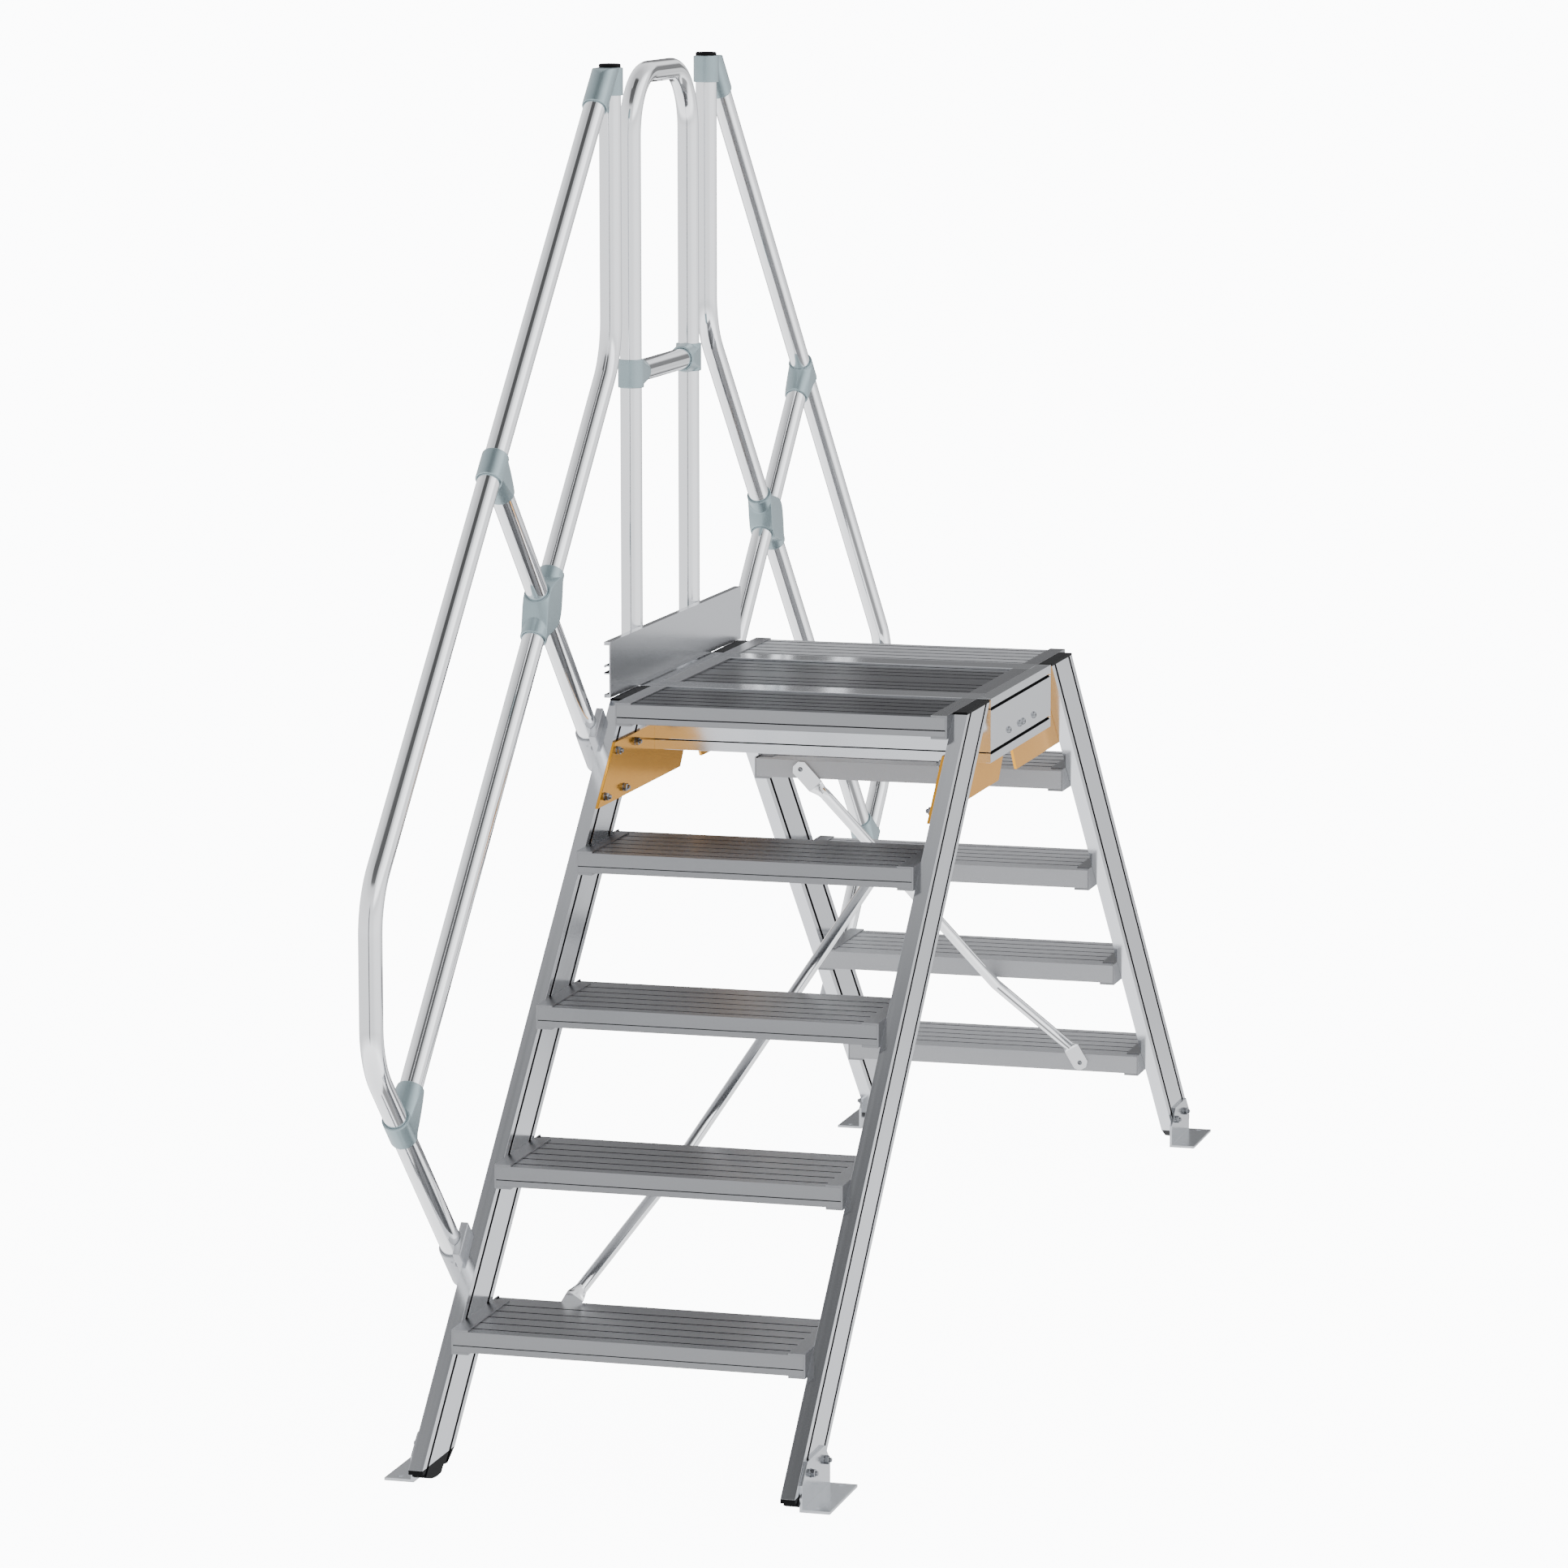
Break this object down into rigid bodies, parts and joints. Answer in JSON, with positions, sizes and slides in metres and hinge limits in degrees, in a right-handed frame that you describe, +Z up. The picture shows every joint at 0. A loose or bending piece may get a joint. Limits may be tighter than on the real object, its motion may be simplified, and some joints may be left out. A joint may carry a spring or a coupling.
{
  "type": "crossover step",
  "caption": "Stepped flights that climb to a platform from both ends, with slotted stringers, grooved treads, gussets, braces and a tubular guard rail with toe board along one side.",
  "frame": {"origin": "centre of the footprint, on the floor under the anchors' base plates", "axes": "+X along the treads to the side without a rail, +Y the way across from the front flight, +Z up"},
  "size_m": [0.769, 3.2764, 2.297],
  "materials": {
    "polished_aluminium": "polished, bright",
    "grooved_aluminium": "satin, grooved",
    "bracket_aluminium": "bright mill finish",
    "tube_aluminium": "bright, clear anodised",
    "cast_grey": "satin blue-grey casting",
    "orange_plate": "glossy orange",
    "black_plastic": "moulded, matte",
    "bolt_steel": "bright zinc plated"
  },
  "bodies": {
    "root": {"anchor_bolts": "bolt_steel", "brace_bolts": "bolt_steel", "deck_channels": "bracket_aluminium", "deck_planks": "grooved_aluminium", "front_brace": "tube_aluminium", "front_cross_beam": "polished_aluminium", "front_cross_fitting": "cast_grey", "front_crown_fitting": "cast_grey", "front_foot_tee": "cast_grey", "front_gussets": "orange_plate", "front_handrail": "tube_aluminium", "front_handrail_tee": "cast_grey", "front_knee_rail": "tube_aluminium", "front_left_anchor": "polished_aluminium", "front_left_stringer": "polished_aluminium", "front_post": "tube_aluminium", "front_right_anchor": "polished_aluminium", "front_right_stringer": "polished_aluminium", "front_tread_1": "grooved_aluminium", "front_tread_2": "grooved_aluminium", "front_tread_3": "grooved_aluminium", "front_tread_4": "grooved_aluminium", "front_tread_5": "grooved_aluminium", "front_tread_brackets": "bracket_aluminium", "gusset_bolts": "bolt_steel", "hoop": "tube_aluminium", "hoop_bar": "tube_aluminium", "hoop_sockets": "cast_grey", "hoop_tees": "cast_grey", "left_side_beam": "polished_aluminium", "rail_bolts": "bolt_steel", "rail_sockets": "cast_grey", "rear_brace": "tube_aluminium", "rear_cross_beam": "polished_aluminium", "rear_cross_fitting": "cast_grey", "rear_crown_fitting": "cast_grey", "rear_foot_tee": "cast_grey", "rear_gussets": "orange_plate", "rear_handrail": "tube_aluminium", "rear_handrail_tee": "cast_grey", "rear_knee_rail": "tube_aluminium", "rear_left_anchor": "polished_aluminium", "rear_left_stringer": "polished_aluminium", "rear_post": "tube_aluminium", "rear_right_anchor": "polished_aluminium", "rear_right_stringer": "polished_aluminium", "rear_tread_1": "grooved_aluminium", "rear_tread_2": "grooved_aluminium", "rear_tread_3": "grooved_aluminium", "rear_tread_4": "grooved_aluminium", "rear_tread_5": "grooved_aluminium", "rear_tread_brackets": "bracket_aluminium", "right_side_beam": "polished_aluminium", "stringer_caps": "black_plastic", "stringer_feet": "black_plastic", "toe_board": "grooved_aluminium", "toe_board_clamps": "cast_grey", "tread_bolts": "bolt_steel", "upright_plugs": "black_plastic"}
  },
  "joints": []
}
